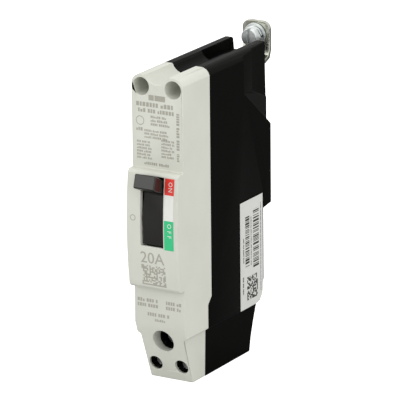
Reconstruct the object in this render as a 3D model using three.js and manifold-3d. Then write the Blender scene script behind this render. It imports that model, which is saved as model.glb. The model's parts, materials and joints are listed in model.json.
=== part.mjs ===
// One-pole moulded-case circuit breaker, 1 inch wide, bolt-on line strap at the top and a box lug
// at the bottom. X is the width, the front faces -Y, +Z points to the line end. All sizes in mm.
import * as THREE from 'three';
import { mergeVertices } from 'three/addons/utils/BufferGeometryUtils.js';
import Module from 'manifold-3d';

const wasm = await Module();
wasm.setup();

// ---- Driving dimensions ---------------------------------------------------------------------
const GAP = 0.3; // clearance left between pieces that touch on the real breaker
const HALF_W = 12.7; // half the pole pitch of 1 inch
const STEP_Z = 21.4; // below this height the terminal section is narrower
const STEP_HALF_W = 11.15;
const FOOT_HALF_W = 10.7;
const SEAM_Y = 23.25; // plane between cover and base
const SEAM_LOW_Y = 20.45; // the same seam beside the load terminal
const SEAM_JOG_Z = [33.4, 36.4];
const TOP_Z = 139.0; // cover and base end flush
const REAR_Y = 76.3;
const REAR_LOW_Y = 69.3;
const FOOT_REAR_Y = 59.5;
const FOOT_FRONT_Y = 9.9; // foot of the sloping terminal face
const SLOPE_TOP_Z = 27.5;
const FOOT_WALL = 1.5; // cover skin over the black nose of the base, beside the load terminal
const FOOT_SPACE_HALF_W = 10.0;
const NOSE_BORE = 3.05; // the nose's own bores are a little smaller than the cover's
const CAVITY_HALF_W = 10.5;

const CHANNEL = { z: 141.0, r: 6.1, end: 48 }; // round screwdriver groove, line end
const TROUGH = { topHalf: 6.2, lowHalf: 5.7, floor: 133.5 }; // the open pocket that it runs into
const RECESS = { y: 53, z: 120.6, lowZ: 98.6, frontX: 11.9, rearX: 10.2 }; // upper rear, each side
const POCKET = { y: 62.3, z: 119.4, lowZ: 112.2, frontX: 10.7, rearX: 9.6 }; // second level of the recess, round the strap end
const ESC = { z0: 44.8, z1: 97.8, end: -4.2, mid: -5.8, round: 2.4 }; // raised escutcheon
const SLOT = { half: 5.7, z0: 64.6, z1: 95.9 };
const PIVOT = { y: 12, z: 79.5, pin: 1.5 };
const GRIP = { half: 5.2, tipTop: [-10.4, 98.1], tipLow: [-12.2, 92.0], angle: 32 };
const SKIRT = { r: 16.7, t: 1.5, top: 115, crease: [-4.9, 77], end: [-4.3, 64.8], endR: 22.0 };

const ARM_PIVOT = { y: 32, z: 79 };
const CRADLE_PIVOT = { y: 30, z: 60 };
const SPRING = {
  x: 5.6, r: 1.9, wire: 0.35, turns: 9, top: { y: 38.6, z: 92 }, low: { y: 44, z: 68 },
};
const CONTACT_Z = 112.5;
const STRAP = {
  half: 6.85, t: 2, front: 85.5, top: 145, screwZ: 138.6, seatZ: 134, lowZ: 127, tongueY: 53.7,
};
const LINE_CASE_SCREW = { x: 7.9, z: 133.8, bore: 4.0, head: 3.3, shank: 1.7, headY: 17.3, end: 44 };
const LOAD_CASE_SCREW = { x: 6.5, z: 7.45, bore: 3.3, head: 2.6, shank: 1.5, headY: 12.4, end: 40 };
const LUG = { half: 7, y0: 24, y1: 42, z0: 11, z1: 25, winHalf: 4.2, winY0: 29, winY1: 39.5 };
const LUG_SCREW = { z: 19.6, r: 3, head: 4.3, y0: 13.4, end: 28.6, bore: 5.2, collar: 6.4, depth: 6.1 };
const LABEL = { y0: 48.3, y1: 68.3, z0: 21.9, z1: 71.6, cut: 5.5 };

// ---- Materials ------------------------------------------------------------------------------
const colour = (hex, roughness, metalness = 0) =>
  new THREE.MeshStandardMaterial({ color: hex, roughness, metalness });
const MAT = {
  cover: colour(0xcdcec5, 0.5),
  black: colour(0x1d1c1b, 0.45),
  paper: colour(0xeeeeea, 0.6),
  zinc: colour(0xc9cbc8, 0.3, 1),
  tin: colour(0xb9b9b2, 0.35, 1),
  copper: colour(0xb87348, 0.35, 1),
  silver: colour(0xd6d6d2, 0.3, 1),
  steel: colour(0x9a9c9e, 0.4, 1),
  spring: colour(0x6d6f72, 0.35, 1),
  fibre: colour(0x8a4a2e, 0.8),
  alloy: colour(0xb6b9bb, 0.4, 1),
};

// ---- Solid helpers --------------------------------------------------------------------------
function toSolid(geometry) {
  const g = geometry.clone();
  g.deleteAttribute('normal');
  g.deleteAttribute('uv');
  const merged = mergeVertices(g, 1e-4);
  return new wasm.Manifold(new wasm.Mesh({
    numProp: 3,
    vertProperties: new Float32Array(merged.attributes.position.array),
    triVerts: new Uint32Array(merged.index.array),
  }));
}

function toGeometry(solid) {
  const mesh = solid.getMesh();
  const g = new THREE.BufferGeometry();
  const position = new Float32Array(mesh.numVert * 3);
  for (let i = 0; i < mesh.numVert; i += 1) {
    for (let k = 0; k < 3; k += 1) {
      position[3 * i + k] = mesh.vertProperties[mesh.numProp * i + k];
    }
  }
  g.setAttribute('position', new THREE.BufferAttribute(position, 3));
  g.setIndex(new THREE.BufferAttribute(new Uint32Array(mesh.triVerts), 1));
  g.computeVertexNormals();
  return g;
}

const AXES = {
  x: new THREE.Matrix4().makeBasis(
    new THREE.Vector3(0, 1, 0), new THREE.Vector3(0, 0, 1), new THREE.Vector3(1, 0, 0)),
  y: new THREE.Matrix4().makeBasis(
    new THREE.Vector3(0, 0, 1), new THREE.Vector3(1, 0, 0), new THREE.Vector3(0, 1, 0)),
  z: new THREE.Matrix4(),
};

// A prism along one axis. Points are (y, z) for axis x, (z, x) for axis y and (x, y) for axis z.
function prism(axis, points, from, to, holes = []) {
  const shape = new THREE.Shape(points.map(([a, b]) => new THREE.Vector2(a, b)));
  shape.holes = holes.map((ring) => new THREE.Path(ring.map(([a, b]) => new THREE.Vector2(a, b))));
  const g = new THREE.ExtrudeGeometry(shape, { depth: to - from, bevelEnabled: false });
  g.translate(0, 0, from);
  g.applyMatrix4(AXES[axis]);
  return toSolid(g);
}

const ring = (a, b, r, n = 24) => Array.from({ length: n }, (_, i) => {
  const t = (2 * Math.PI * (i + 0.5)) / n;
  return [a + r * Math.cos(t), b + r * Math.sin(t)];
});

const rodX = (y, z, r, x0, x1, n) => prism('x', ring(y, z, r, n), x0, x1);
const rodY = (x, z, r, y0, y1, n) => prism('y', ring(z, x, r, n), y0, y1);

function box(x0, x1, y0, y1, z0, z1) {
  return prism('z', [[x0, y0], [x1, y0], [x1, y1], [x0, y1]], z0, z1);
}

const both = (make) => make(1).add(make(-1));

function arc(cy, cz, r, fromDeg, toDeg, n) {
  return Array.from({ length: n + 1 }, (_, i) => {
    const t = THREE.MathUtils.degToRad(fromDeg + ((toDeg - fromDeg) * i) / n);
    return [cy - r * Math.cos(t), cz + r * Math.sin(t)];
  });
}

// ---- Housing --------------------------------------------------------------------------------
// Front-view outline shared by cover and base: stepped in beside the load terminal, round on top.
function frontOutline() {
  const crown = [[HALF_W, 135.7], [12.1, 137.1], [11.2, 138.1], [9.9, 138.8], [8.9, TOP_Z]];
  const right = [[FOOT_HALF_W, 0], [STEP_HALF_W, STEP_Z], [HALF_W, STEP_Z + 1], ...crown];
  const left = right.map(([x, z]) => [-x, z]).reverse();
  return prism('y', [...right, ...left].map(([x, z]) => [z, x]), -20, 120);
}

function escutcheonOutline() {
  const { z0, z1, end, mid, round } = ESC;
  const half = (z1 - z0) / 2;
  const points = Array.from({ length: 15 }, (_, i) => {
    const t = -1 + (2 * i) / 14;
    return [mid + (end - mid) * t * t, (z0 + z1) / 2 + t * (half - round / 2)];
  });
  return [[3, z0], [end + round / 2, z0], ...points, [end + round / 2, z1], [3, z1]];
}

// Space inside the cover's foot, grown or shrunk by a gap, that the nose of the base fills.
function footSpace(gap) {
  const slope = (z) => FOOT_FRONT_Y * (1 - z / SLOPE_TOP_Z) + FOOT_WALL + gap;
  const z0 = 2 + gap;
  const z1 = 27 - gap;
  const w = FOOT_SPACE_HALF_W - gap;
  const space = prism('x', [[slope(z0), z0], [30, z0], [30, z1], [slope(z1), z1]], -w, w);
  const front = FOOT_FRONT_Y * (1 - LUG_SCREW.z / SLOPE_TOP_Z) + LUG_SCREW.depth + gap;
  return space.subtract(rodY(0, LUG_SCREW.z, LUG_SCREW.collar + gap, -5, front, 32));
}

function makeCover() {
  const low = SEAM_LOW_Y - GAP / 2;
  const seam = SEAM_Y - GAP / 2;
  const side = [[0, SLOPE_TOP_Z], [FOOT_FRONT_Y, 0], [low, 0], [low, SEAM_JOG_Z[0]],
    [seam, SEAM_JOG_Z[1]], [seam, TOP_Z], [0, TOP_Z]];
  let cover = prism('x', side, -HALF_W, HALF_W).intersect(frontOutline());
  cover = cover.add(prism('x', escutcheonOutline(), -HALF_W, HALF_W));
  cover = cover.subtract(box(-CAVITY_HALF_W, CAVITY_HALF_W, 2.2, 30, 38.5, 127));
  const bowl = prism('x', arc(PIVOT.y, PIVOT.z, SKIRT.r + 0.9, -180, 179, 40), -6.6, 6.6);
  cover = cover.subtract(bowl.intersect(box(-8, 8, -3.4, 30, 50, 110)));
  cover = cover.subtract(box(-SLOT.half, SLOT.half, -9, 4, SLOT.z0, SLOT.z1));
  const sweepRoom = rodX(PIVOT.y, PIVOT.z, SKIRT.endR + GAP, -SLOT.half, SLOT.half, 96);
  cover = cover.subtract(sweepRoom.intersect(box(-8, 8, -4.6, 30, 50, PIVOT.z)));
  cover = cover.subtract(rodY(0, CHANNEL.z, CHANNEL.r, -5, 30, 28));
  cover = cover.subtract(both((s) => rodY(s * LINE_CASE_SCREW.x, LINE_CASE_SCREW.z,
    LINE_CASE_SCREW.bore, -5, LINE_CASE_SCREW.headY + 3 + GAP)));
  cover = cover.subtract(both((s) => rodY(s * LINE_CASE_SCREW.x, LINE_CASE_SCREW.z,
    LINE_CASE_SCREW.shank + GAP, 10, 30, 16)));
  cover = cover.subtract(both((s) => rodY(s * LOAD_CASE_SCREW.x, LOAD_CASE_SCREW.z,
    LOAD_CASE_SCREW.bore, -5, 18)));
  cover = cover.subtract(footSpace(0));
  return cover.subtract(rodY(0, LUG_SCREW.z, LUG_SCREW.bore, -5, 30, 28));
}

// The line end of the base is narrower: a flat recess with a sloping lower edge on one side, its
// floor running in towards the rear, and a second, shallow level beside the strap.
function makeRecessLevel(s, { y, z, lowZ, frontX, rearX }) {
  const far = HALF_W + 1;
  const rear = REAR_Y + 4;
  const plan = [[s * far, y], [s * far, rear], [s * rearX, rear], [s * frontX, y]];
  const region = prism('x', [[y, z], [rear, lowZ], [rear, 150], [y, 150]], -20, 20);
  return prism('z', plan, lowZ - 1, 150).intersect(region);
}

const makeSideRecess = (s) => makeRecessLevel(s, RECESS).add(makeRecessLevel(s, POCKET));

function makeBase() {
  const low = SEAM_LOW_Y + GAP / 2;
  const seam = SEAM_Y + GAP / 2;
  const side = [[low, 0], [FOOT_REAR_Y, 0], [60.5, 6.2], [62.4, 13], [64.8, 20], [68, 27.4],
    [REAR_LOW_Y, 32], [REAR_LOW_Y, 64.4], [REAR_Y, 65.4], [REAR_Y, TOP_Z - 0.8],
    [REAR_Y - 0.8, TOP_Z], [seam, TOP_Z], [seam, SEAM_JOG_Z[1]], [low, SEAM_JOG_Z[0]]];
  let base = prism('x', side, -HALF_W, HALF_W).intersect(frontOutline());
  const bores = both((s) => rodY(s * LOAD_CASE_SCREW.x, LOAD_CASE_SCREW.z, NOSE_BORE,
    -5, LOAD_CASE_SCREW.headY + 2.6 + GAP)).add(rodY(0, LUG_SCREW.z, LUG_SCREW.bore, -5, 30, 28));
  base = base.add(footSpace(GAP).intersect(box(-15, 15, 0, 24, 0, 40)));
  base = base.subtract(both(makeSideRecess)).subtract(bores);
  const w = CAVITY_HALF_W;
  const cavity = [[15, 25.8], [64.4, 25.8], [66.6, 31], [66.6, 67.5], [73.2, 67.5], [73.2, 104],
    [73.2, 130], [15, 130]];
  const upper = prism('x', cavity, -w + 2.2, w - 2.2);
  const wide = prism('x', [[15, 25.8], [64.4, 25.8], [66.6, 31], [66.6, 67.5], [73.2, 67.5],
    [73.2, 97], [51, 114], [51, 130], [15, 130]], -w, w);
  base = base.subtract(upper.add(wide));
  base = base.subtract(box(-8.2, 8.2, 15, 44, 10.4, 26));
  base = base.subtract(box(-STRAP.half - GAP, STRAP.half + GAP, 70, 80, STRAP.lowZ - GAP,
    STRAP.lowZ + STRAP.t + GAP));
  base = base.subtract(rodY(0, CHANNEL.z, CHANNEL.r, 20, CHANNEL.end + 1, 28));
  const trough = [[TROUGH.floor, -TROUGH.lowHalf], [TROUGH.floor, TROUGH.lowHalf],
    [TOP_Z + 0.1, TROUGH.topHalf], [TOP_Z + 0.1, -TROUGH.topHalf]];
  base = base.subtract(prism('y', trough, CHANNEL.end, 90));
  base = base.subtract(box(-4.3, 4.3, 28.5, 38, -5, 12));
  base = base.subtract(both((s) => rodY(s * LINE_CASE_SCREW.x, LINE_CASE_SCREW.z,
    LINE_CASE_SCREW.shank + GAP, 20, LINE_CASE_SCREW.end + 1, 16)));
  base = base.subtract(both((s) => rodY(s * LOAD_CASE_SCREW.x, LOAD_CASE_SCREW.z,
    LOAD_CASE_SCREW.shank + GAP, 15, LOAD_CASE_SCREW.end + 1, 16)));
  return base.subtract(prism('x', labelOutline(0.4), HALF_W - 0.35, HALF_W + 1));
}

function labelOutline(grow) {
  const { y0, y1, z0, z1, cut } = LABEL;
  return [[y0 - grow, z0 - grow], [y1 - cut + grow, z0 - grow], [y1 - 1.4 + grow, z0 + 2.6],
    [y1 + grow, z0 + cut + 1], [y1 + grow, z1 + grow], [y0 - grow, z1 + grow]];
}

// ---- Operating handle -----------------------------------------------------------------------
// Hub on the pivot, a skirt that closes the slot and a finger grip, drawn in the on position. The
// skirt is round above the grip and has two flat facets below it.
function makeHandle() {
  const { y, z } = PIVOT;
  const { r, t, top, crease, end } = SKIRT;
  const rootLow = [-3.4, 88];
  const rootTop = [-2.6, 94.0];
  const outer = [end, crease, rootLow, ...arc(y, z, r, 36, top, 14)];
  const inner = [...arc(y, z, r - t, 36, top, 14).reverse(), [rootLow[0] + t, rootLow[1] - 0.4],
    [crease[0] + t, crease[1] + 0.2], [end[0] + t, end[1]]];
  let body = prism('x', [...outer, ...inner], -GRIP.half, GRIP.half);
  const web = [...arc(y, z, r - 0.5, -14, 62, 14), [y, z]];
  body = body.add(prism('x', web, -2.4, 2.4));
  body = body.add(rodX(y, z, 5, -7.6, 7.6, 28));
  const grip = [rootLow, GRIP.tipLow, GRIP.tipTop, rootTop, [1.6, 88.6]];
  const finger = [[-12.4, -1.6], [0, -4.4], [0, 4.4], [-12.4, 1.6]];
  const turned = (points) => points.map(([u, v]) => {
    const a = THREE.MathUtils.degToRad(GRIP.angle);
    return [y - u * Math.cos(a) + v * Math.sin(a), z + u * Math.sin(a) + v * Math.cos(a)];
  });
  body = body.add(prism('x', grip, -GRIP.half, GRIP.half));
  body = body.add(prism('x', turned(finger), -3.2, 3.2));
  return body.subtract(rodX(y, z, PIVOT.pin + GAP, -9, 9, 20));
}

// ---- Line end -------------------------------------------------------------------------------
function makeLineTerminal() {
  const { half, t, front, top, lowZ, tongueY, screwZ } = STRAP;
  const bend = 3;
  const profile = [[front, top], [front, lowZ + t + bend], [front - 0.9, lowZ + t + 0.9],
    [front - bend, lowZ + t], [tongueY + t + 1.5, lowZ + t], [tongueY + 0.5, lowZ + t - 0.5],
    [tongueY, lowZ + t - 2], [tongueY, 105.5], [tongueY + t, 105.5], [tongueY + t, lowZ - 1],
    [tongueY + t + 1, lowZ], [front - bend, lowZ], [front + 0.6, lowZ + 1.4],
    [front + t, lowZ + t + bend], [front + t, top]];
  const c = 3.6;
  const corner = (s) => Array.from({ length: 7 }, (_, i) => {
    const a = (Math.PI / 12) * i;
    return [s * (half - c + c * Math.cos(a)), top - c + c * Math.sin(a)];
  });
  const face = [[-half, 100], [half, 100], ...corner(1), ...corner(-1).reverse()];
  const strap = prism('x', profile, -half, half)
    .intersect(prism('y', face.map(([x, z]) => [z, x]), 40, 95));
  return strap.subtract(rodY(0, screwZ, 2.7, 80, 95, 20));
}

function makeLineScrew() {
  const z = STRAP.screwZ;
  const hex = rodY(0, z, 4.55, 78.9, 82.3, 6);
  const head = hex.intersect(toSolid(new THREE.CylinderGeometry(4.6, 3.6, 4.2, 24)
    .translate(0, 80.6, 0).translate(0, 0, z)));
  const slot = box(-0.7, 0.7, 78, 80.1, z - 6, z + 6);
  return head.add(rodY(0, z, 2.35, 82.2, 93, 20)).subtract(slot);
}

function makeWasher(r, hole, y0, y1, split) {
  const z = STRAP.screwZ;
  const disc = prism('y', ring(z, 0, r, 28), y0, y1, [ring(z, 0, hole, 20)]);
  return split ? disc.subtract(box(0, 8, y0 - 1, y1 + 1, z - 0.45, z + 0.45)) : disc;
}

function makeCaseScrew(s, spec, headLength) {
  const x = s * spec.x;
  const reach = spec.head * 0.6;
  const floor = spec.headY + 1.3;
  const head = rodY(x, spec.z, spec.head, spec.headY, spec.headY + headLength, 20);
  const cross = box(x - reach, x + reach, spec.headY - 1, floor, spec.z - 0.45, spec.z + 0.45)
    .add(box(x - 0.45, x + 0.45, spec.headY - 1, floor, spec.z - reach, spec.z + reach));
  return head.add(rodY(x, spec.z, spec.shank, spec.headY + headLength - 0.5, spec.end, 16))
    .subtract(cross);
}

// ---- Contacts and arc chute -----------------------------------------------------------------
function makeContactArm() {
  const { y, z } = ARM_PIVOT;
  const outline = [[29.4, 78.6], [33.6, 75.9], [49.6, 107.2], [49.6, 117.2], [46.4, 117.2],
    [45.6, 110.4]];
  let arm = prism('x', outline, -3, 3).add(rodX(y, z, 4, -3, 3, 24));
  arm = arm.add(rodX(SPRING.top.y, SPRING.top.z, 1, -7.6, 7.6, 12));
  return arm.subtract(rodX(y, z, 1.8, -9, 9, 16));
}

function makeArcPlate(y) {
  const outline = [[-9.2, 104], [-4.6, 104], [-4.6, 121], [-3.4, 122.8], [3.4, 122.8], [4.6, 121],
    [4.6, 104], [9.2, 104], [9.2, 126.6], [-9.2, 126.6]];
  return prism('y', outline.map(([x, z]) => [z, x]), y, y + 1.2);
}

// ---- Mechanism ------------------------------------------------------------------------------
function makeFrame() {
  const outline = [[8, 73.5], [8, 85.5], [14, 88], [36, 84], [38, 76], [37, 52], [24, 52], [21, 66]];
  let frame = both((s) => prism('x', outline, Math.min(s * 8.2, s * 9.2), Math.max(s * 8.2, s * 9.2)));
  frame = frame.add(box(-9.2, 9.2, 24.4, 36.6, 52, 53.2));
  const pins = [PIVOT, ARM_PIVOT, CRADLE_PIVOT];
  return pins.reduce((f, p) => f.subtract(rodX(p.y, p.z, 1.8, -12, 12, 20)), frame);
}

function makeCradle() {
  const outline = [[27, 57], [33, 56.6], [53.4, 63.6], [53.4, 67], [46, 70.4], [42, 70.4],
    [33, 63.6], [27.6, 63]];
  let cradle = prism('x', outline, -1.2, 1.2);
  cradle = cradle.add(rodX(CRADLE_PIVOT.y, CRADLE_PIVOT.z, 3.6, -3, 3, 20));
  cradle = cradle.add(rodX(SPRING.low.y, SPRING.low.z, 1, -7.6, 7.6, 12));
  return cradle.subtract(rodX(CRADLE_PIVOT.y, CRADLE_PIVOT.z, 1.8, -9, 9, 16));
}

class CoilCurve extends THREE.Curve {
  constructor(x) {
    super();
    this.x = x;
  }

  getPoint(t) {
    const { r, turns, top, low } = SPRING;
    const dir = new THREE.Vector3(0, top.y - low.y, top.z - low.z);
    const length = dir.length();
    dir.normalize();
    const side = new THREE.Vector3(1, 0, 0);
    const up = new THREE.Vector3().crossVectors(dir, side);
    const a = 2 * Math.PI * turns * t;
    return new THREE.Vector3(this.x, low.y, low.z)
      .addScaledVector(dir, 3.2 + (length - 6.4) * t)
      .addScaledVector(side, r * Math.cos(a))
      .addScaledVector(up, r * Math.sin(a));
  }
}

function sweep(curve, radius, steps, sides) {
  const shape = new THREE.Shape(ring(0, 0, radius, sides).map(([a, b]) => new THREE.Vector2(a, b)));
  return toSolid(new THREE.ExtrudeGeometry(shape, { steps, extrudePath: curve }));
}

const makeSpring = (s) => sweep(new CoilCurve(s * SPRING.x), SPRING.wire, 108, 6);

// ---- Trip unit and load end -----------------------------------------------------------------
function makeYoke() {
  const plan = [[-6.6, 57.2], [-5.2, 57.2], [-5.2, 63.4], [5.2, 63.4], [5.2, 57.2], [6.6, 57.2],
    [6.6, 65.2], [-6.6, 65.2]];
  return prism('z', plan, 46, 57).subtract(box(-4.2, 4.2, 62, 66, 44, 48));
}

function makeArmature() {
  const plate = box(-4.6, 4.6, 54, 55.6, 43, 69);
  const ears = both((s) => prism('x', [[54, 38.5], [57, 38.5], [57, 44.5], [54, 44.5]],
    Math.min(s * 4.6, s * 3.4), Math.max(s * 4.6, s * 3.4)));
  return plate.add(ears).subtract(rodX(55.5, 41, 1.1, -9, 9, 16));
}

function makeLoadTerminal() {
  const profile = [[37.6, 12], [39.2, 12], [39.2, 25.6], [39.8, 26.4], [62, 26.4], [63.8, 28.2],
    [63.8, 42], [62.1, 42], [62.1, 28.6], [61.6, 28.1], [38.4, 28.1], [37.6, 27.3]];
  return prism('x', profile, -3.9, 3.9);
}

function makeLug() {
  const lug = box(-LUG.half, LUG.half, LUG.y0, LUG.y1, LUG.z0, LUG.z1);
  return lug
    .subtract(box(-LUG.winHalf, LUG.winHalf, LUG.winY0, LUG.winY1, 0, 30))
    .subtract(rodY(0, LUG_SCREW.z, LUG_SCREW.r + GAP, 20, 30, 20));
}

function makeLugScrew() {
  const { z, r, head, y0, end } = LUG_SCREW;
  return rodY(0, z, head, y0, y0 + 3, 28)
    .add(rodY(0, z, r, y0 + 2.5, end, 20))
    .subtract(box(-5, 5, y0 - 1, y0 + 1.5, z - 0.6, z + 0.6));
}

function makeBraid() {
  const path = new THREE.CatmullRomCurve3([[43.6, 88], [50, 88.4], [57.4, 83.5], [60.6, 76],
    [61.2, 66.8]].map(([y, z]) => new THREE.Vector3(0, y, z)));
  return sweep(path, 1.5, 20, 10);
}

function makePositionLabel() {
  const skin = escutcheonOutline().filter(([y]) => y < ESC.end + 0.01);
  const near = skin.filter(([, z]) => z > 62 && z < 97.5);
  const front = near.map(([y, z]) => [y - 0.55, z]);
  const back = near.map(([y, z]) => [y - GAP, z]).reverse();
  return prism('x', [...front, ...back], 6.3, 10.9).intersect(box(0, 12, -12, 5, 64.2, 95.9));
}

// ---- Assembly -------------------------------------------------------------------------------
// The origin is moved to the middle of the strap's seating face, just below its screw hole.
const part = new THREE.Group();
part.name = 'breaker';
const body = new THREE.Group();
body.position.set(0, -(STRAP.front + STRAP.t), -STRAP.seatZ);
part.add(body);

function place(name, solid, material) {
  const mesh = new THREE.Mesh(toGeometry(solid), material);
  mesh.name = name;
  body.add(mesh);
}

function placePair(name, make, material) {
  place(`${name}_left`, make(-1), material);
  place(`${name}_right`, make(1), material);
}

const cz = CONTACT_Z;
place('cover', makeCover(), MAT.cover);
place('base', makeBase(), MAT.black);
place('handle', makeHandle(), MAT.black);
place('handle_pin', rodX(PIVOT.y, PIVOT.z, PIVOT.pin, -9.8, 9.8, 20), MAT.steel);
place('position_label', makePositionLabel(), MAT.paper);
place('rating_label', prism('x', labelOutline(0), HALF_W - 0.05, HALF_W + 0.1), MAT.paper);
placePair('case_screw_line', (s) => makeCaseScrew(s, LINE_CASE_SCREW, 3), MAT.zinc);
placePair('case_screw_load', (s) => makeCaseScrew(s, LOAD_CASE_SCREW, 2.6), MAT.zinc);
place('line_terminal', makeLineTerminal(), MAT.tin);
place('line_screw', makeLineScrew(), MAT.zinc);
place('line_lock_washer', makeWasher(4.3, 2.7, 82.6, 83.8, true), MAT.zinc);
place('line_flat_washer', makeWasher(5.4, 2.7, 84.1, 85.2, false), MAT.zinc);
place('fixed_contact', box(-3.4, 3.4, 51.8, 53.4, cz - 3.4, cz + 3.4), MAT.silver);
place('moving_contact', box(-3.2, 3.2, 49.9, 51.5, cz - 3.2, cz + 3.2), MAT.silver);
place('contact_arm', makeContactArm(), MAT.copper);
place('contact_arm_pin', rodX(ARM_PIVOT.y, ARM_PIVOT.z, 1.5, -9.8, 9.8, 16), MAT.steel);
for (let i = 0; i < 4; i += 1) place(`arc_plate_${i + 1}`, makeArcPlate(36.4 + 3 * i), MAT.steel);
placePair('arc_side_plate', (s) => box(Math.min(s * 9.5, s * 10.2), Math.max(s * 9.5, s * 10.2),
  35.5, 47.5, 103, 127), MAT.fibre);
place('mechanism_frame', makeFrame(), MAT.steel);
place('cradle', makeCradle(), MAT.steel);
place('cradle_pin', rodX(CRADLE_PIVOT.y, CRADLE_PIVOT.z, 1.5, -9.8, 9.8, 16), MAT.steel);
placePair('toggle_spring', makeSpring, MAT.spring);
place('bimetal', box(-3.5, 3.5, 60.6, 61.8, 30, 66).subtract(rodY(0, 63, 1.8, 55, 70, 16)), MAT.alloy);
place('magnet_yoke', makeYoke(), MAT.steel);
place('armature', makeArmature(), MAT.steel);
place('armature_pin', rodX(55.5, 41, 0.8, -10.1, 10.1, 12), MAT.steel);
place('calibration_screw', rodY(0, 63, 1.5, 58, 64.5, 14), MAT.zinc);
place('flexible_braid', makeBraid(), MAT.copper);
place('load_terminal', makeLoadTerminal(), MAT.copper);
place('load_lug', makeLug(), MAT.alloy);
place('lug_screw', makeLugScrew(), MAT.zinc);

export default part;
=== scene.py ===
# %% [markdown]
# # A one-pole circuit breaker
# A moulded-case breaker is a grey cover screwed to a black base, with a toggle handle between
# them and bare metal at both ends. The imported CAD model gives every place and every size, so the
# first cell loads it and can read the box of any of its parts.

import json
import math

import bmesh
import bpy
import numpy as np
from mathutils import Matrix, Vector


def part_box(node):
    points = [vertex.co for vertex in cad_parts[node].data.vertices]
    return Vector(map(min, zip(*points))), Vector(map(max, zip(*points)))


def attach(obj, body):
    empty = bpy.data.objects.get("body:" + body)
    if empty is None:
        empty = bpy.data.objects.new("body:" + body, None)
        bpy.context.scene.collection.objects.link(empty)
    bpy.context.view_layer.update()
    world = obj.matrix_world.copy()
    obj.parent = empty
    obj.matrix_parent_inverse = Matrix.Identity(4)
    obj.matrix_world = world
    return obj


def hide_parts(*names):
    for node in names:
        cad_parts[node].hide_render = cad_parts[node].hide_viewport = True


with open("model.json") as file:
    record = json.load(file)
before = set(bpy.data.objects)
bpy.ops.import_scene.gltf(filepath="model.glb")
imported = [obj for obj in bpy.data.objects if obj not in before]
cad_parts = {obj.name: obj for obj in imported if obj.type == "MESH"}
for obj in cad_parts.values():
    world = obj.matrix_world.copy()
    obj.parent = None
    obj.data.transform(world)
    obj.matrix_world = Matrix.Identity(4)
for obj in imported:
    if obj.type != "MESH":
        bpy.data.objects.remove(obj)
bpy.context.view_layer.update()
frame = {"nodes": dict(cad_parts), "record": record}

# %% [markdown]
# ## One set of working axes
# It is easiest to think in millimetres from the breaker's own foot and front face: X across, Y
# into the depth, Z up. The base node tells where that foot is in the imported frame: its lowest
# point is height 0, and its rear land is 76.3 mm behind the front face.

# %% Working axes
MM = 0.001
HOUSING = "housing"
HALF_W = 12.7
REAR_Y = 76.3
BASE_LOW, BASE_HIGH = (Vector(c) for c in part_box("base"))
FOOT = np.array([0.0, BASE_HIGH.y / MM - REAR_Y, BASE_LOW.z / MM])


def to_frame(points):
    """Frame metres = (working millimetres + the foot's place) / 1000, for a whole array at once."""
    return (np.asarray(points, dtype=float) + FOOT) * MM


print("foot in the frame, mm", FOOT.round(2))

# %% [markdown]
# ## Camera
# A long lens from the front right, a little above, keeps the tall body almost free of
# perspective. The back vector points from the object to the camera; a small roll leans the body.

# %% Camera
SENSOR = 36.0
CAM_AZ, CAM_EL, CAM_ROLL = math.radians(30.545), math.radians(16.46), math.radians(-0.58)
CAM_PLACE = (834.55, -1378.85, 560.21)
FOCAL_PER_WIDTH = 9.787


def add_camera():
    """Axes: back = (sin a cos e, -cos a cos e, sin e), right is level, up = back x right, rolled."""
    back = Vector((math.sin(CAM_AZ) * math.cos(CAM_EL), -math.cos(CAM_AZ) * math.cos(CAM_EL),
                   math.sin(CAM_EL)))
    right = Vector((math.cos(CAM_AZ), math.sin(CAM_AZ), 0.0))
    up = back.cross(right)
    x_axis = right * math.cos(CAM_ROLL) + up * math.sin(CAM_ROLL)
    y_axis = up * math.cos(CAM_ROLL) - right * math.sin(CAM_ROLL)
    turn = Matrix((x_axis, y_axis, back)).transposed().to_4x4()
    data = bpy.data.cameras.new("camera")
    data.sensor_width = SENSOR
    data.lens = SENSOR * FOCAL_PER_WIDTH
    data.clip_start, data.clip_end = 0.05, 20.0
    cam = bpy.data.objects.new("camera", data)
    cam.matrix_world = Matrix.Translation(Vector(to_frame(CAM_PLACE))) @ turn
    bpy.context.scene.collection.objects.link(cam)
    bpy.context.scene.camera = cam
    return cam


camera = add_camera()
print("lens", round(camera.data.lens, 1), "at", [round(v, 3) for v in camera.matrix_world.translation])

# %% [markdown]
# ## Floor and light
# The studio is a white table in a white room that is brighter overhead. A large soft panel on the
# left draws the broad sheen, and a smaller one on the right lights the edges. Places are in
# working millimetres, panel sizes in metres and powers in watts.

# %% Floor and lights
FLOOR_SIZE = 6.0
FLOOR_DROP = 2e-5
FLOOR_GLOW = 0.85
PAPER_TONES = ((0.58, 0.58, 0.575, 1), (0.62, 0.62, 0.615, 1))
PAPER_IN_GLOSS = (0.22, 0.22, 0.22, 1.0)
WHITE = (1.0, 1.0, 1.0, 1.0)
ROOM_WHITE = (1.0, 1.0, 0.985, 1.0)
WALL_LEVEL = 0.68
CEILING_LEVEL = 1.35
BACKDROP_LEVEL = 1.05
PANELS = {"panel_left": ((-600, -900, 420), (0, 30, 70), 0.7, 2.9),
          "panel_right": ((900, -250, 260), (0, 30, 90), 0.6, 2.5)}


def new_material(name):
    """A material with its Principled BSDF and output, and the node tree to add to."""
    mat = bpy.data.materials.new(name)
    mat.use_nodes = True
    return mat, mat.node_tree, mat.node_tree.nodes["Principled BSDF"]


def math_node(tree, op, a, b):
    """One Math node; a and b are sockets or numbers."""
    node = tree.nodes.new("ShaderNodeMath")
    node.operation = op
    for socket, value in zip(node.inputs, (a, b)):
        if isinstance(value, (int, float)):
            socket.default_value = value
        else:
            tree.links.new(value, socket)
    return node.outputs[0]


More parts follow.
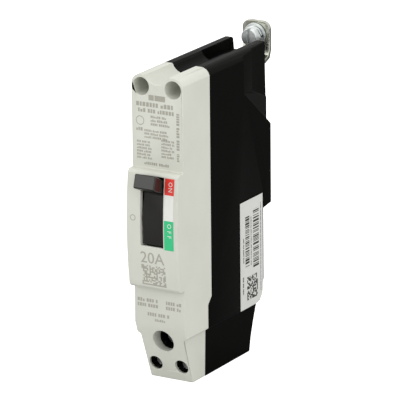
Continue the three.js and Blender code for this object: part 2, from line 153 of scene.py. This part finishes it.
def add_area(name, place, aim, size, power):
    """A square soft panel at place (mm), turned so that its -Z looks at aim (mm)."""
    data = bpy.data.lights.new(name, "AREA")
    data.shape, data.size, data.energy = "SQUARE", size, power
    obj = bpy.data.objects.new(name, data)
    at, to = Vector(to_frame(place)), Vector(to_frame(aim))
    turn = (to - at).to_track_quat("-Z", "Y").to_matrix().to_4x4()
    obj.matrix_world = Matrix.Translation(at) @ turn
    bpy.context.scene.collection.objects.link(obj)
    return obj


def add_floor():
    """One flat square at the height of the foot: pale paper that stays out of the glossy pieces
    and is lifted to white for the camera."""
    h = FLOOR_SIZE / 2
    z = float(to_frame((0, 0, 0))[2]) - FLOOR_DROP
    mesh = bpy.data.meshes.new("floor")
    mesh.from_pydata([(-h, -h, z), (h, -h, z), (h, h, z), (-h, h, z)], [], [(0, 1, 2, 3)])
    obj = bpy.data.objects.new("floor", mesh)
    bpy.context.scene.collection.objects.link(obj)
    mat, tree, bsdf = new_material("floor_paper")
    noise = tree.nodes.new("ShaderNodeTexNoise")
    noise.inputs["Scale"].default_value = 40.0
    ramp = tree.nodes.new("ShaderNodeValToRGB")
    for element, tone in zip(ramp.color_ramp.elements, PAPER_TONES):
        element.color = tone
    tree.links.new(noise.outputs["Fac"], ramp.inputs["Fac"])
    bsdf.inputs["Roughness"].default_value = 0.9
    bsdf.inputs["Specular IOR Level"].default_value = 0.1
    bsdf.inputs["Emission Color"].default_value = WHITE
    path = tree.nodes.new("ShaderNodeLightPath")
    paper = tree.nodes.new("ShaderNodeMixRGB")
    paper.inputs["Color2"].default_value = PAPER_IN_GLOSS
    tree.links.new(path.outputs["Is Glossy Ray"], paper.inputs["Fac"])
    tree.links.new(ramp.outputs["Color"], paper.inputs["Color1"])
    tree.links.new(paper.outputs["Color"], bsdf.inputs["Base Color"])
    glow = math_node(tree, "MULTIPLY", path.outputs["Is Camera Ray"], FLOOR_GLOW)
    tree.links.new(glow, bsdf.inputs["Emission Strength"])
    mesh.materials.append(mat)
    return obj


def paint_world(studio):
    """A white room, brighter overhead: strength = WALL_LEVEL + z * (CEILING_LEVEL - WALL_LEVEL),
    with z the upward part of the direction. The camera itself sees plain white."""
    tree = studio.node_tree
    room = tree.nodes["Background"]
    room.inputs["Color"].default_value = ROOM_WHITE
    coords = tree.nodes.new("ShaderNodeTexCoord")
    split = tree.nodes.new("ShaderNodeSeparateXYZ")
    height = tree.nodes.new("ShaderNodeMapRange")
    height.inputs["To Min"].default_value = WALL_LEVEL
    height.inputs["To Max"].default_value = CEILING_LEVEL
    tree.links.new(coords.outputs["Generated"], split.inputs["Vector"])
    tree.links.new(split.outputs["Z"], height.inputs["Value"])
    tree.links.new(height.outputs["Result"], room.inputs["Strength"])
    backdrop = tree.nodes.new("ShaderNodeBackground")
    backdrop.inputs["Color"].default_value = WHITE
    backdrop.inputs["Strength"].default_value = BACKDROP_LEVEL
    path = tree.nodes.new("ShaderNodeLightPath")
    mix = tree.nodes.new("ShaderNodeMixShader")
    tree.links.new(path.outputs["Is Camera Ray"], mix.inputs["Fac"])
    tree.links.new(room.outputs[0], mix.inputs[1])
    tree.links.new(backdrop.outputs[0], mix.inputs[2])
    tree.links.new(mix.outputs[0], tree.nodes["World Output"].inputs["Surface"])


world = bpy.data.worlds.new("studio")
world.use_nodes = True
paint_world(world)
bpy.context.scene.world = world
bpy.context.scene.view_settings.view_transform = "Standard"
add_floor()
for panel_name, panel in PANELS.items():
    add_area(panel_name, *panel)

# %% [markdown]
# ## Shared surface effects
# Two effects turn up again and again, so each is a node group: the satin grain of a moulded part
# or a printed film, and the fine directional lines of rolled or plated metal. A group hands out
# only a tone, a roughness and a height, and the material decides what to do with them.

# %% Satin grain group
EFFECT_OUTPUTS = ("Tone", "Rough", "Height")


def group_with(name, inputs):
    """An empty shader node group with its input sockets and the three effect outputs."""
    tree = bpy.data.node_groups.new(name, "ShaderNodeTree")
    for label, kind, value in inputs:
        socket = tree.interface.new_socket(label, in_out="INPUT", socket_type=kind)
        if value is not None:
            socket.default_value = value
    for label in EFFECT_OUTPUTS:
        tree.interface.new_socket(label, in_out="OUTPUT", socket_type="NodeSocketFloat")
    start = tree.nodes.new("NodeGroupInput")
    end = tree.nodes.new("NodeGroupOutput")
    return tree, start, end


def add_noise(tree, vector, scale, detail):
    """A Noise node read at a vector; the scale is a socket or a number."""
    node = tree.nodes.new("ShaderNodeTexNoise")
    tree.links.new(vector, node.inputs["Vector"])
    if isinstance(scale, float):
        node.inputs["Scale"].default_value = scale
    else:
        tree.links.new(scale, node.inputs["Scale"])
    node.inputs["Detail"].default_value = detail
    return node.outputs["Fac"]


def send_roughness(tree, start, end, noise):
    """Rough = Roughness + (noise - 0.5) * Spread."""
    offset = math_node(tree, "SUBTRACT", noise, 0.5)
    spread = math_node(tree, "MULTIPLY", offset, start.outputs["Spread"])
    tree.links.new(math_node(tree, "ADD", start.outputs["Roughness"], spread), end.inputs["Rough"])


def make_grain_group():
    """Tone and height from two noises: a slow one for flow marks and a fine one for spark grain."""
    tree, start, end = group_with(
        "satin_grain",
        [("Vector", "NodeSocketVector", None), ("Grain", "NodeSocketFloat", 2600.0),
         ("Flow", "NodeSocketFloat", 45.0), ("Roughness", "NodeSocketFloat", 0.5),
         ("Spread", "NodeSocketFloat", 0.12)])
    fine = add_noise(tree, start.outputs["Vector"], start.outputs["Grain"], 2.0)
    slow = add_noise(tree, start.outputs["Vector"], start.outputs["Flow"], 3.0)
    tree.links.new(slow, end.inputs["Tone"])
    tree.links.new(fine, end.inputs["Height"])
    send_roughness(tree, start, end, slow)
    return tree


GRAIN = make_grain_group()
print("group", GRAIN.name, "nodes", len(GRAIN.nodes))

# %% Drawn metal group
LINE_SCALE, BLOTCH_SCALE = 1500.0, 260.0


def make_metal_group():
    """Lines along one axis: noise squeezed by Stretch, plus soft blotches like plating."""
    tree, start, end = group_with(
        "drawn_metal",
        [("Vector", "NodeSocketVector", None), ("Stretch", "NodeSocketVector", (1.0, 1.0, 1.0)),
         ("Roughness", "NodeSocketFloat", 0.3), ("Spread", "NodeSocketFloat", 0.25)])
    squeeze = tree.nodes.new("ShaderNodeVectorMath")
    squeeze.operation = "MULTIPLY"
    tree.links.new(start.outputs["Vector"], squeeze.inputs[0])
    tree.links.new(start.outputs["Stretch"], squeeze.inputs[1])
    lines = add_noise(tree, squeeze.outputs[0], LINE_SCALE, 3.0)
    blotch = add_noise(tree, start.outputs["Vector"], BLOTCH_SCALE, 4.0)
    tree.links.new(blotch, end.inputs["Tone"])
    tree.links.new(lines, end.inputs["Height"])
    send_roughness(tree, start, end, lines)
    return tree


DRAWN = make_metal_group()
print("group", DRAWN.name, "nodes", len(DRAWN.nodes))

# %% [markdown]
# ## Materials
# A finish is one function call: two colours that the slow noise blends between, a roughness and a
# bump depth. Numbers that are the same everywhere sit on the shader's own sockets.

# %% Materials


def srgb(r, g, b):
    """Linear colour from 0..255 display values: ((c / 255 + 0.055) / 1.055) ^ 2.4, or / 12.92."""
    c = np.array([r, g, b]) / 255.0
    linear = np.where(c <= 0.04045, c / 12.92, ((c + 0.055) / 1.055) ** 2.4)
    return (*[float(v) for v in linear], 1.0)


def surface(name, group, settings, light, dark, bump, distance, **fixed):
    """A Principled material fed by one of the groups, read in the piece's own coordinates."""
    mat, tree, bsdf = new_material(name)
    coords = tree.nodes.new("ShaderNodeTexCoord")
    effect = tree.nodes.new("ShaderNodeGroup")
    effect.node_tree = group
    tree.links.new(coords.outputs["Object"], effect.inputs["Vector"])
    for key, value in settings.items():
        effect.inputs[key].default_value = value
    ramp = tree.nodes.new("ShaderNodeValToRGB")
    ramp.color_ramp.elements[0].position, ramp.color_ramp.elements[1].position = 0.3, 0.7
    ramp.color_ramp.elements[0].color = dark
    ramp.color_ramp.elements[1].color = light
    tree.links.new(effect.outputs["Tone"], ramp.inputs["Fac"])
    tree.links.new(ramp.outputs["Color"], bsdf.inputs["Base Color"])
    tree.links.new(effect.outputs["Rough"], bsdf.inputs["Roughness"])
    relief = tree.nodes.new("ShaderNodeBump")
    relief.inputs["Strength"].default_value = bump
    relief.inputs["Distance"].default_value = distance
    tree.links.new(effect.outputs["Height"], relief.inputs["Height"])
    tree.links.new(relief.outputs["Normal"], bsdf.inputs["Normal"])
    for key, value in fixed.items():
        bsdf.inputs[key.replace("_", " ")].default_value = value
    return mat


def plastic(name, light, dark, rough, bump=0.25, grain=2600.0, **fixed):
    return surface(name, GRAIN, {"Grain": grain, "Flow": 45.0, "Roughness": rough, "Spread": 0.12},
                   light, dark, bump, 4e-5, **fixed)


def metal(name, light, dark, rough, stretch, bump=0.12):
    return surface(name, DRAWN, {"Stretch": stretch, "Roughness": rough, "Spread": 0.3},
                   light, dark, bump, 2e-5, Metallic=1.0)


FINISH = {
    "cover": plastic("cover_grey", srgb(207, 208, 199), srgb(202, 203, 193), 0.42),
    "base": plastic("base_black", srgb(7, 6, 5), srgb(4, 4, 3), 0.4, bump=0.3,
                    Specular_IOR_Level=0.04),
    "handle": plastic("handle_black", srgb(30, 29, 26), srgb(23, 22, 20), 0.3, bump=0.15,
                      Specular_IOR_Level=0.5),
    "position_label": plastic("film_white", srgb(225, 226, 222), srgb(221, 222, 217), 0.4, bump=0.05),
    "rating_label": plastic("label_paper", srgb(207, 208, 205), srgb(201, 202, 198), 0.62, bump=0.15,
                            grain=5200.0),
    "steel": metal("pressed_steel", srgb(176, 178, 180), srgb(150, 152, 154), 0.34, (1, 1, 0.05)),
    "zinc": metal("bright_zinc", srgb(240, 243, 241), srgb(206, 212, 213), 0.42, (1, 0.1, 1), bump=0.05),
    "tin": metal("tin_plate", srgb(214, 215, 204), srgb(150, 150, 138), 0.24, (1, 1, 0.06)),
    "copper": metal("bare_copper", srgb(214, 140, 104), srgb(180, 106, 74), 0.3, (1, 1, 0.06)),
    "silver": metal("contact_silver", srgb(226, 226, 222), srgb(200, 200, 196), 0.28, (1, 1, 1)),
    "spring": metal("spring_wire", srgb(132, 134, 138), srgb(100, 102, 106), 0.3, (1, 1, 1)),
    "fibre": plastic("red_fibre", srgb(150, 84, 58), srgb(128, 68, 46), 0.8, bump=0.6),
    "alloy": metal("lug_alloy", srgb(198, 200, 202), srgb(172, 175, 178), 0.36, (0.06, 1, 1)),
}
# The same grey also paints the moulded ring beside the slot, where it is painted shade round its low
# relief.
PRINT_AND_SHADE_GREY = plastic("etched_print_and_shade", srgb(166, 164, 154), srgb(156, 154, 144), 0.6, bump=0.1)
PRINT_BLACK = plastic("label_ink", srgb(58, 57, 54), srgb(44, 43, 41), 0.55, bump=0.1)
RED_FILM = plastic("film_red", srgb(224, 54, 42), srgb(216, 48, 38), 0.4, bump=0.05)
GREEN_FILM = plastic("film_green", srgb(52, 196, 132), srgb(46, 186, 124), 0.4, bump=0.05)
print("materials", len(bpy.data.materials))

# %% [markdown]
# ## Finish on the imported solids
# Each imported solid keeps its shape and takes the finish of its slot. The inner pieces are seen
# only through the slot and the screw holes, yet an exploded view needs them finished too.

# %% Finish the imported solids
SLOT_OF = {entry["node"]: entry["material_slot"] for entry in frame["record"]["subparts"]}
for node_name, obj in frame["nodes"].items():
    finish = FINISH[SLOT_OF[node_name]]
    if not obj.material_slots:
        obj.data.materials.append(finish)
    for slot in obj.material_slots:
        slot.material = finish
print("finished", len(frame["nodes"]), "solids in", len(set(SLOT_OF.values())), "finishes")

# %% [markdown]
# ## Rounded copies of the moulded and stamped solids
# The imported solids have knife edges. A real moulding leaves its tool with rounded edges, and it
# is the thin highlight along them that makes it look moulded. A copy is welded, its flat regions
# are joined, and a Bevel modifier rounds the edges by their weight: outer edges by the full
# radius, small inner ones by a part of it.

# %% Rounded copies
SHARP = math.radians(32)
FLAT = math.radians(0.6)
WELD = 3e-6
BODY_OF = {n: body for body, names in frame["record"]["behaviour"]["bodies"].items() for n in names}


def rule_at(edge, rule):
    """What the piece's rule says of one edge, from its two ends in working millimetres."""
    return rule(*[np.array(v.co) / MM - FOOT for v in edge.verts])


def edge_share(edge, rule):
    """Bevel weight of one edge: 0 below the sharp angle, else what the piece's rule says."""
    if len(edge.link_faces) != 2 or edge.calc_face_angle(0.0) < SHARP:
        return 0.0
    return rule_at(edge, rule)


def full_radius(a, b):
    """Every sharp edge alike."""
    return 1.0


def rounded_copy(node, name, radius, rule=full_radius, segments=3):
    """A welded, flat-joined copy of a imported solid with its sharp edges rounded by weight."""
    mesh = frame["nodes"][node].data.copy()
    bm = bmesh.new()
    bm.from_mesh(mesh)
    bmesh.ops.remove_doubles(bm, verts=bm.verts, dist=WELD)
    open_edges = [edge for edge in bm.edges if rule_at(edge, rule) > 0.0]
    bmesh.ops.dissolve_limit(bm, angle_limit=FLAT, verts=[], edges=open_edges)
    weight = bm.edges.layers.float.new("bevel_weight_edge")
    for edge in bm.edges:
        edge[weight] = edge_share(edge, rule)
    bm.to_mesh(mesh)
    bm.free()
    mesh.shade_smooth()
    mesh.set_sharp_from_angle(angle=SHARP)
    obj = bpy.data.objects.new(name, mesh)
    bpy.context.scene.collection.objects.link(obj)
    bevel = obj.modifiers.new("rounded_edges", "BEVEL")
    bevel.width, bevel.segments = radius * MM, segments
    bevel.limit_method, bevel.use_clamp_overlap = "WEIGHT", False
    bevel.miter_outer = "MITER_ARC"
    bevel.harden_normals = True
    obj.data.materials.clear()
    obj.data.materials.append(FINISH[SLOT_OF[node]])
    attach(obj, BODY_OF[node])
    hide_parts(node)
    return obj


CAVITY_HALF, BOWL_HALF, LIP_HALF = 10.6, 6.7, 6.2


def cover_rule(a, b):
    """Full radius on the long outer edges, a third of it round holes and slot. The cavity, the
    bowl behind the slot and the thin lips of the channel keep plain edges."""
    outer = min(abs(a[0]), abs(b[0])) > 10.5
    width, front, low = max(abs(a[0]), abs(b[0])), min(a[1], b[1]), min(a[2], b[2])
    cavity = width < CAVITY_HALF and front > 1.5
    bowl = width < BOWL_HALF and front > -3.5 and 50 < low < 110
    lip = width < LIP_HALF and low > 138.7
    if cavity or bowl or lip:
        return 0.0
    return 1.0 if outer and max(a[1], b[1]) < 22.5 else 0.35


def base_rule(a, b):
    """Half the radius outside; the hidden cavity and the nose in the foot keep plain edges."""
    cavity = 25 < min(a[2], b[2]) and max(a[2], b[2]) < 131
    nose = max(a[1], b[1]) < 24.5 and max(a[2], b[2]) < 30
    return 0.0 if max(abs(a[0]), abs(b[0])) < CAVITY_HALF and (cavity or nose) else 0.5


rounded_copy("cover", "cover_shell", 0.45, cover_rule)
rounded_copy("base", "base_shell", 0.5, base_rule)
print("cover and base rounded")

# %% Rounded metal and handle
ROUNDED = {"handle": ("toggle_handle", 0.6, 3), "line_terminal": ("line_strap", 0.3, 3),
           "line_screw": ("line_hex_screw", 0.18, 2), "line_flat_washer": ("flat_washer", 0.15, 2),
           "line_lock_washer": ("lock_washer", 0.15, 2), "lug_screw": ("lug_clamp_screw", 0.2, 2)}
for packed, (name, radius, segments) in ROUNDED.items():
    rounded_copy(packed, name, radius, segments=segments)

# %% [markdown]
# ## Printed and etched marks
# The front carries etched lines of small print and the side a sticker with bar codes. The words
# are not copied: each line is a row of plain blocks about as wide as letters. All the blocks of
# one surface are one mesh, made from a table of rectangles: a thin closed box for each, eight
# corners and six faces, with the same corner pattern repeated by numpy for the whole table.

# %% Marks on a surface
PRINT_THICK = 0.03
BOX_CORNERS = np.array([(0, 0, 0), (1, 0, 0), (1, 1, 0), (0, 1, 0),
                        (0, 0, 1), (1, 0, 1), (1, 1, 1), (0, 1, 1)], dtype=float)
BOX_FACES = np.array([(0, 3, 2, 1), (4, 5, 6, 7), (0, 1, 5, 4), (1, 2, 6, 5), (2, 3, 7, 6),
                      (3, 0, 4, 7)])


def add_piece(name, points, faces, material):
    """One mesh from working points and faces, put in the scene and carried by the housing."""
    mesh = bpy.data.meshes.new(name)
    mesh.from_pydata(to_frame(points).tolist(), [], faces)
    mesh.materials.append(material)
    obj = bpy.data.objects.new(name, mesh)
    bpy.context.scene.collection.objects.link(obj)
    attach(obj, HOUSING)
    return obj


def blocks_mesh(name, rects, to_surface, material, thick):
    """Thin boxes: corner = low + unit corner x size in u and v, and the height in w."""
    rects = np.asarray(rects, dtype=float)
    low, size = rects[:, :2], rects[:, 2:] - rects[:, :2]
    uv = low[:, None, :] + BOX_CORNERS[None, :, :2] * size[:, None, :]
    w = np.broadcast_to(BOX_CORNERS[None, :, 2:] * thick, uv.shape[:2] + (1,))
    points = to_surface(np.concatenate([uv, w], axis=2).reshape(-1, 3))
    faces = (BOX_FACES[None] + 8 * np.arange(len(rects))[:, None, None]).reshape(-1, 4)
    return add_piece(name, points, faces.tolist(), material)


ESC_MID_Z, ESC_HALF, ESC_END, ESC_MID = 71.3, 25.3, -4.2, -5.8


def escutcheon_y(z):
    """Front of the raised escutcheon: mid + (end - mid) t^2, t from -1 at its foot to 1 on top."""
    t = (np.asarray(z) - ESC_MID_Z) / ESC_HALF
    return ESC_MID + (ESC_END - ESC_MID) * t * t


def on_front(points):
    """(x, z, height) on the flat front: y = -height."""
    return np.stack([points[:, 0], -points[:, 2], points[:, 1]], axis=1)


def on_escutcheon(points):
    """(x, z, height) on the arched escutcheon: y = its front minus the height."""
    y = escutcheon_y(points[:, 1]) - points[:, 2]
    return np.stack([points[:, 0], y, points[:, 1]], axis=1)


def on_side(points):
    """(y, z, height) on the right side: x = half width plus the height."""
    return np.stack([HALF_W + points[:, 2], points[:, 0], points[:, 1]], axis=1)


def text_line(rng, x0, x1, z, cap):
    """Blocks from x0 to x1: words of 3 to 7 letters, each 0.45 to 0.75 of the cap height wide."""
    rects, x, left = [], x0, int(rng.integers(3, 8))
    while x < x1 - 0.3 * cap:
        wide = cap * rng.uniform(0.45, 0.75)
        tall = cap * (1.0 if rng.random() < 0.8 else 0.7)
        rects.append((x, z - cap / 2, min(x + wide, x1), z - cap / 2 + tall))
        x += wide + 0.22 * cap
        left -= 1
        if left == 0:
            x, left = x + 0.5 * cap, int(rng.integers(3, 8))
    return rects


def column(rng, x0, x1, z_top, pitch, count, cap):
    """Lines of print one pitch apart, each a little shorter at its end than the last full width."""
    return sum([text_line(rng, x0, x1 - rng.uniform(0, 0.15) * (x1 - x0), z_top - i * pitch, cap)
                for i in range(count)], [])


def turned_line(rng, x0, x1, z0, z1):
    """Print that reads along Z: a text line with its two coordinates exchanged."""
    flat = text_line(rng, z0, z1, (x0 + x1) / 2, x1 - x0)
    return [(b, a, d, c) for a, b, c, d in flat]


def matrix_cells(rng, x0, z0, cell, columns, rows, fill=0.52):
    """A square code of random cells; runs of filled cells in a row become one longer block."""
    rects = []
    grid = rng.random((rows, columns)) < fill
    for r in range(rows):
        c = 0
        while c < columns:
            run = c
            while run < columns and grid[r, run]:
                run += 1
            if run > c:
                low, high = z0 + r * cell, z0 + (r + 1) * cell * 0.999
                rects.append((x0 + c * cell, low, x0 + run * cell, high))
            c = max(run, c + 1)
    return rects


print("box pattern", BOX_CORNERS.shape, BOX_FACES.shape)

# %% Front print
rng = np.random.default_rng(7)
front = [(-4.1, 128.1, -1.5, 130.5), (-1.1, 128.1, 4.1, 130.5)]
front += text_line(rng, -10.3, 8.3, 126.1, 1.9)
front += text_line(rng, -9.4, 8.3, 123.4, 1.7)
front += column(rng, -3.2, 6.2, 120.9, 1.65, 3, 1.05)
front += text_line(rng, -10.4, -6.4, 114.9, 1.5)
front += column(rng, -6.4, 6.4, 114.6, 1.45, 3, 0.95)
front += column(rng, -10.2, -2.4, 109.4, 1.42, 6, 0.9)
front += column(rng, 2.0, 8.4, 110.9, 1.42, 6, 0.9)
front += text_line(rng, -6.6, 5.6, 100.0, 1.2)
front += turned_line(rng, 9.6, 11.0, 107.6, 123.8)
front += turned_line(rng, 9.7, 10.9, 102.6, 106.0)
front += column(rng, -11.0, 0.8, 38.2, 2.3, 2, 1.5)
front += column(rng, 3.3, 11.6, 38.2, 2.3, 2, 1.5)
front += text_line(rng, -6.0, 4.8, 32.0, 1.5)
front += text_line(rng, -2.4, 2.8, 29.6, 1.1)
blocks_mesh("front_print", front, on_front, PRINT_AND_SHADE_GREY, PRINT_THICK)
code = matrix_cells(rng, -5.0, 47.5, 0.66, 17, 13)
code += [(-5.7, 46.8, -5.05, 56.2), (-4.95, 46.8, 6.4, 47.45)]
blocks_mesh("square_code", code, on_escutcheon, PRINT_AND_SHADE_GREY, PRINT_THICK)
print("front blocks", len(front), "code blocks", len(code))

# %% [markdown]
# ## Round marks
# One small ring is printed near the top and one is moulded beside the slot. The moulded ring takes
# the print grey as painted shade, standing for the shade round its low relief. A ring is a profile
# carried round a circle: a low oval section, half of it sunk in the surface.

# %% Rings


def ring_mark(name, x, z, radius, width, to_surface, material, height, turns=40, n=12):
    """Oval section round a circle: (r + w/2 cos s) round the centre, height h sin s."""
    t = np.linspace(0, 2 * np.pi, turns, endpoint=False)[:, None]
    s = np.linspace(0, 2 * np.pi, n, endpoint=False)[None, :]
    r = radius + width / 2 * np.cos(s)
    points = np.stack([x + r * np.cos(t), z + r * np.sin(t),
                       np.broadcast_to(height * np.sin(s), (turns, n))], axis=2)
    i, j = np.meshgrid(np.arange(turns), np.arange(n), indexing="ij")
    along, across = (i + 1) % turns, (j + 1) % n
    faces = np.stack([i * n + j, along * n + j, along * n + across, i * n + across], axis=2)
    obj = add_piece(name, to_surface(points.reshape(-1, 3)), faces.reshape(-1, 4).tolist(), material)
    obj.data.shade_smooth()
    return obj


approval_ring = ring_mark("approval_ring", -8.5, 118.7, 1.9, 0.35, on_front, PRINT_AND_SHADE_GREY, 0.03)
# The moulded ring is grey plastic like the cover; its print grey is painted shade for the shade round
# its relief.
ejector_ring = ring_mark("ejector_ring", -9.4, 76.6, 1.2, 0.35, on_escutcheon, PRINT_AND_SHADE_GREY, 0.05)
print("rings", approval_ring.name, ejector_ring.name)

# %% [markdown]
# ## Position film beside the handle
# A red field on top says on and a green one below says off, with plain white between them. Each
# field is a thin slab bent to the arch of the escutcheon: a grid of points along the height,
# closed into a box section.

# %% Position film


def film(name, x0, x1, z0, z1, material, low=0.02, high=0.1, rows=12):
    """A closed slab: four corner lines of the section carried up the arch from z0 to z1."""
    z = np.linspace(z0, z1, rows)[:, None]
    section = np.array([(x0, low), (x0, high), (x1, high), (x1, low)])
    points = np.stack([np.broadcast_to(section[:, 0], (rows, 4)), np.broadcast_to(z, (rows, 4)),
                       np.broadcast_to(section[:, 1], (rows, 4))], axis=2).reshape(-1, 3)
    i = np.arange(rows - 1)[:, None] * 4
    j = np.arange(4)[None, :]
    walls = np.stack([i + j, i + (j + 1) % 4, i + 4 + (j + 1) % 4, i + 4 + j], axis=2).reshape(-1, 4)
    last = 4 * (rows - 1)
    faces = walls.tolist() + [[3, 2, 1, 0], [last, last + 1, last + 2, last + 3]]
    return add_piece(name, on_escutcheon(points), faces, material)


FILM_X0, FILM_X1 = 6.3, 10.9
FILM_LOW, FILM_GREEN_TOP, FILM_RED_LOW, FILM_HIGH = 64.2, 77.4, 88.7, 95.9
film_white = film("film_white_field", FILM_X0, FILM_X1, FILM_GREEN_TOP, FILM_RED_LOW,
                  FINISH["position_label"])
film("film_red_field", FILM_X0, FILM_X1, FILM_RED_LOW, FILM_HIGH, RED_FILM)
film("film_green_field", FILM_X0, FILM_X1, FILM_LOW, FILM_GREEN_TOP, GREEN_FILM)
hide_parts("position_label")
print("film fields from", FILM_LOW, "to", FILM_HIGH, "mm")

# %% Letters


def lettering(name, words, size, x, z, turned, lift, material, spacing=1.0):
    """Plain sans text made a mesh, then each vertex goes to (x, z) on the escutcheon's arch."""
    curve = bpy.data.curves.new(name, "FONT")
    curve.body, curve.size, curve.extrude = words, size, 0.02
    curve.align_x, curve.align_y = "CENTER", "CENTER"
    curve.resolution_u = 3
    curve.space_character = spacing
    holder = bpy.data.objects.new(name + "_curve", curve)
    bpy.context.scene.collection.objects.link(holder)
    bpy.context.view_layer.update()
    mesh = bpy.data.meshes.new_from_object(holder)
    bpy.data.objects.remove(holder)
    flat = np.empty(len(mesh.vertices) * 3)
    mesh.vertices.foreach_get("co", flat)
    u, v, w = flat.reshape(-1, 3).T
    across, along = (v, -u) if turned else (u, v)
    placed = on_escutcheon(np.stack([x + across, z + along, w + lift], axis=1))
    mesh.vertices.foreach_set("co", to_frame(placed).ravel())
    mesh.update()
    mesh.materials.clear()
    mesh.materials.append(material)
    obj = bpy.data.objects.new(name, mesh)
    bpy.context.scene.collection.objects.link(obj)
    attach(obj, HOUSING)
    return obj


on_word = lettering("on_word", "ON", 2.7, 9.0, 92.3, True, 0.12, FINISH["position_label"], 1.15)
off_word = lettering("off_word", "OFF", 2.7, 8.8, 73.0, True, 0.12, FINISH["position_label"], 1.65)
rating_number = lettering("rating_number", "20A", 7.2, -0.1, 59.2, False, 0.03, PRINT_AND_SHADE_GREY)
print("letters", [o.name for o in (on_word, off_word, rating_number)])

# %% [markdown]
# ## Side sticker
# A matt paper label lies on the right side of the base, with one corner rounded off where the
# moulding slopes away. It is a flat outline with a thickness; the print on it is bars, a square
# code and fine lines of blocks, all in dark ink.

# %% Side sticker
STICKER_THICK = 0.06


def sticker_outline():
    """Corners in (y, z), with a quarter arc of radius r round the low rear corner."""
    y0, y1, z0, z1, r = 48.3, 68.3, 21.9, 71.6, 6.0
    a = np.linspace(-np.pi / 2, 0, 9)
    arc = np.stack([y1 - r + r * np.cos(a), z0 + r + r * np.sin(a)], axis=1)
    return np.vstack([[(y0, z0)], arc, [(y1, z1)], [(y0, z1)]])


def flat_slab(name, outline, low, high, to_surface, material):
    """Two copies of an outline, low and high, joined by a band of side faces."""
    n = len(outline)
    rings = [np.hstack([outline, np.full((n, 1), h)]) for h in (low, high)]
    i = np.arange(n)
    band = np.stack([i, (i + 1) % n, (i + 1) % n + n, i + n], axis=1).tolist()
    faces = band + [list(range(n - 1, -1, -1)), list(range(n, 2 * n))]
    return add_piece(name, to_surface(np.vstack(rings)), faces, material)


def on_sticker(points):
    """(y, z, height) on the sticker: the side, raised to just under the sticker's face."""
    return on_side(points + np.array([0, 0, STICKER_THICK - 0.005]))


def bar_code(rng, y0, y1, z0, z1, thin=0.32):
    """Bars across Y, stacked up Z: widths and gaps of one, two or three thin units."""
    rects, z = [], z0
    while z < z1:
        bar = thin * rng.choice([1, 1, 2, 3], p=[0.4, 0.2, 0.25, 0.15])
        rects.append((y0, z, y1, min(z + bar, z1)))
        z += bar + thin * rng.choice([1, 2, 3], p=[0.5, 0.35, 0.15])
    return rects


sticker = flat_slab("side_sticker", sticker_outline(), 0.0, STICKER_THICK, on_side,
                    FINISH["rating_label"])
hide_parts("rating_label")
side = bar_code(rng, 52.8, 56.4, 41.2, 64.8) + bar_code(rng, 59.7, 64.8, 39.4, 66.3)
side += matrix_cells(rng, 54.2, 25.4, 0.72, 13, 15)
side += turned_line(rng, 50.9, 51.6, 43.5, 55.0) + turned_line(rng, 57.6, 58.2, 41.0, 64.0)
side += turned_line(rng, 50.4, 51.3, 29.0, 37.0) + turned_line(rng, 66.2, 66.7, 27.0, 68.0)
blocks_mesh("side_print", side, on_sticker, PRINT_BLACK, PRINT_THICK)
print("side blocks", len(side))
